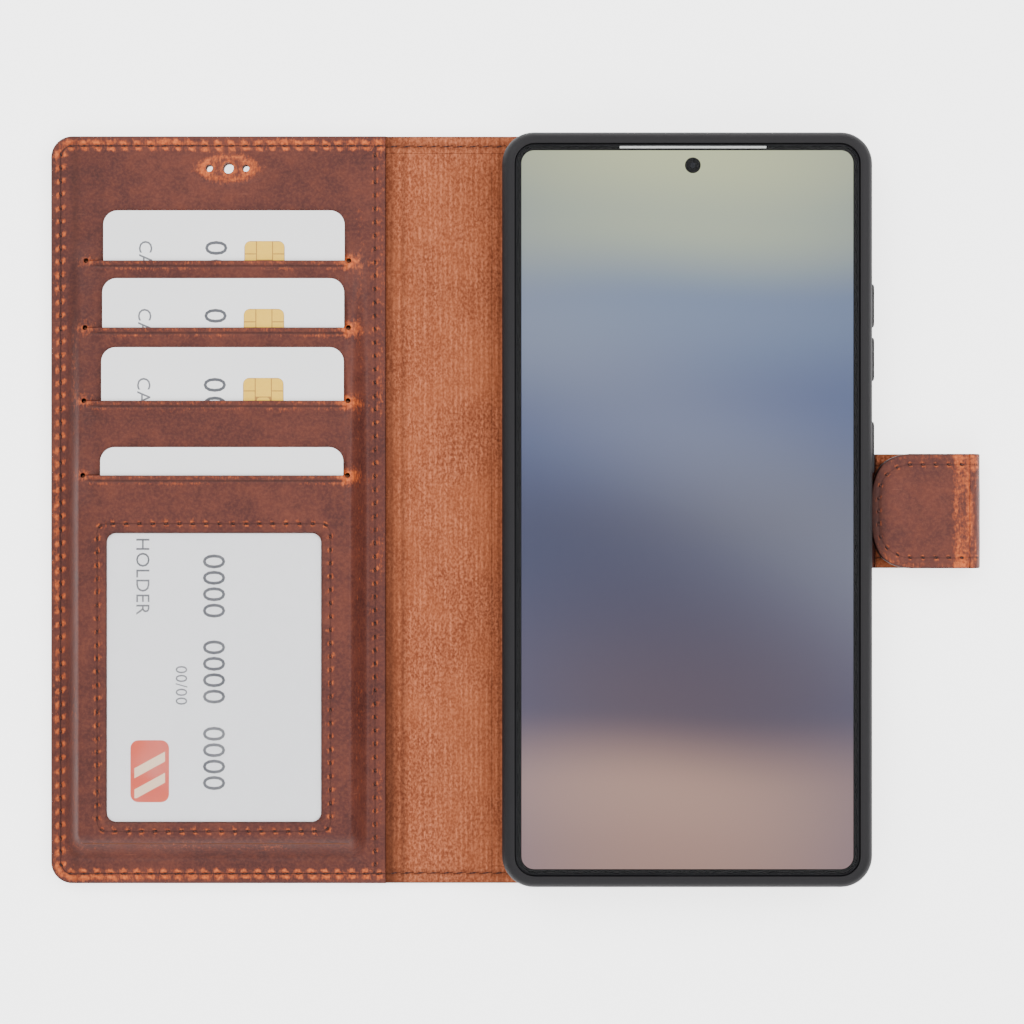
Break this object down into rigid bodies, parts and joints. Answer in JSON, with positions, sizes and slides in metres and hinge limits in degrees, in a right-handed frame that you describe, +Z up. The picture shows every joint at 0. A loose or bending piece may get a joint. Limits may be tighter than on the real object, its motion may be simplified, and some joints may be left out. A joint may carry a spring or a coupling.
{
  "type": "phone wallet case",
  "caption": "Folding leather phone wallet case: card slots and clear window on the front cover, detachable phone shell on the back cover, magnetic strap closure.",
  "frame": {"origin": "centre of the back cover's outer face, on the table it lies on", "axes": "+X from the spine towards the closing strap, +Y towards the top of the phone, +Z up out of the screen; the case lies open"},
  "size_m": [0.209, 0.168, 0.0131],
  "materials": {
    "leather_outer": "waxed pull-up grain, darker along the edges",
    "leather_inner": "waxed pull-up grain",
    "suede": "brushed suede with fine vertical ribs",
    "thread": "waxed twisted thread",
    "board": "fibre board",
    "pocket_fabric": "thin woven lining",
    "film": "clear flexible film",
    "magnet": "plated sintered magnet",
    "steel": "thin spring steel",
    "shell_plastic": "soft-touch, fine matte",
    "microfibre": "short microfibre",
    "button_plastic": "soft-touch, fine matte",
    "phone_metal": "dark anodised, bead-blasted",
    "phone_glass": "polished cover glass",
    "phone_back": "satin coated glass",
    "display": "soft colour gradient",
    "black_print": "black printed border",
    "lens": "coated lens",
    "mesh_metal": "fine mesh",
    "flash_lens": "moulded diffuser",
    "card_plastic": "laminated, satin",
    "chip_gold": "gold contact pads"
  },
  "bodies": {
    "back_cover": {"outer_leather_back": "leather_outer", "back_stiffener": "board", "back_magnets": "magnet", "strap_anchor": "leather_outer", "back_lining": "suede", "back_edge_thread": "thread"},
    "spine": {"outer_leather_spine": "leather_outer", "spine_lining": "suede", "spine_edge_thread": "thread"},
    "front_cover": {"outer_leather_front": "leather_outer", "front_stiffener": "board", "strap_catch_plate": "steel", "front_lining": "suede", "pocket_backing": "pocket_fabric", "slot_liner_2": "pocket_fabric", "slot_liner_3": "pocket_fabric", "slot_liner_4": "pocket_fabric", "pocket_panel": "leather_inner", "id_window_film": "film", "front_edge_thread": "thread", "pocket_edge_thread": "thread", "id_window_thread": "thread"},
    "strap_root": {"strap_root_leather": "leather_outer", "strap_root_lining": "suede", "strap_root_thread": "thread"},
    "strap_tip": {"strap_tip_leather": "leather_outer", "strap_tip_lining": "suede", "strap_tip_magnet": "magnet", "strap_tip_thread": "thread"},
    "shell": {"shell_body": "shell_plastic", "shell_steel_plate": "steel", "shell_inner_liner": "microfibre"},
    "volume_up": {"volume_up_button": "button_plastic"},
    "volume_down": {"volume_down_button": "button_plastic"},
    "power": {"power_button": "button_plastic"},
    "phone": {"phone_frame": "phone_metal", "phone_back_glass": "phone_back", "phone_screen_glass": "phone_glass", "phone_display": "display", "phone_bezel_mask": "black_print", "phone_front_camera": "lens", "phone_earpiece": "mesh_metal", "phone_camera_island": "phone_metal", "phone_camera_lenses": "lens", "phone_flash": "flash_lens", "phone_port_tongue": "black_print"},
    "card_1": {"card_1": "card_plastic", "card_1_chip": "chip_gold"},
    "card_2": {"card_2": "card_plastic", "card_2_chip": "chip_gold"},
    "card_3": {"card_3": "card_plastic", "card_3_chip": "chip_gold"},
    "card_4": {"card_4": "card_plastic", "card_4_chip": "chip_gold"}
  },
  "joints": [
    {"name": "spine_fold", "type": "hinge", "parent": "back_cover", "child": "spine", "pos_m": [-0.0414, 0, 0.0022], "axis": [0, 1, 0], "range_deg": [0, 90]},
    {"name": "cover_fold", "type": "hinge", "parent": "spine", "child": "front_cover", "pos_m": [-0.0602, 0, 0.0022], "axis": [0, 1, 0], "range_deg": [0, 90]},
    {"name": "strap_fold", "type": "hinge", "parent": "back_cover", "child": "strap_root", "pos_m": [0.0424, -0.0003, 0.002], "axis": [0, -1, 0], "range_deg": [0, 90]},
    {"name": "strap_tip_fold", "type": "hinge", "parent": "strap_root", "child": "strap_tip", "pos_m": [0.0633, -0.0003, 0.0026], "axis": [0, 1, 0], "range_deg": [0, 90]},
    {"name": "shell_lift", "type": "slide", "parent": "back_cover", "child": "shell", "axis": [0, 0, -1], "range_m": [-0.025, 0]},
    {"name": "phone_lift", "type": "slide", "parent": "shell", "child": "phone", "axis": [0, 0, -1], "range_m": [-0.03, 0]},
    {"name": "card_1_slide", "type": "slide", "parent": "front_cover", "child": "card_1", "axis": [0, -1, 0], "range_m": [-0.074, 0]},
    {"name": "card_2_slide", "type": "slide", "parent": "front_cover", "child": "card_2", "axis": [0, -1, 0], "range_m": [-0.074, 0]},
    {"name": "card_3_slide", "type": "slide", "parent": "front_cover", "child": "card_3", "axis": [0, -1, 0], "range_m": [-0.074, 0]},
    {"name": "card_4_slide", "type": "slide", "parent": "front_cover", "child": "card_4", "axis": [0, -1, 0], "range_m": [-0.074, 0]},
    {"name": "volume_up_press", "type": "slide", "parent": "shell", "child": "volume_up", "axis": [-1, 0, 0], "range_m": [0, 0.0004], "stiffness_N_per_m": 1500},
    {"name": "volume_down_press", "type": "slide", "parent": "shell", "child": "volume_down", "axis": [-1, 0, 0], "range_m": [0, 0.0004], "stiffness_N_per_m": 1500},
    {"name": "power_press", "type": "slide", "parent": "shell", "child": "power", "axis": [-1, 0, 0], "range_m": [0, 0.0004], "stiffness_N_per_m": 1500}
  ],
  "couplings": [
    {"joint": "strap_tip_fold", "follows": "strap_fold", "ratio": 1}
  ]
}
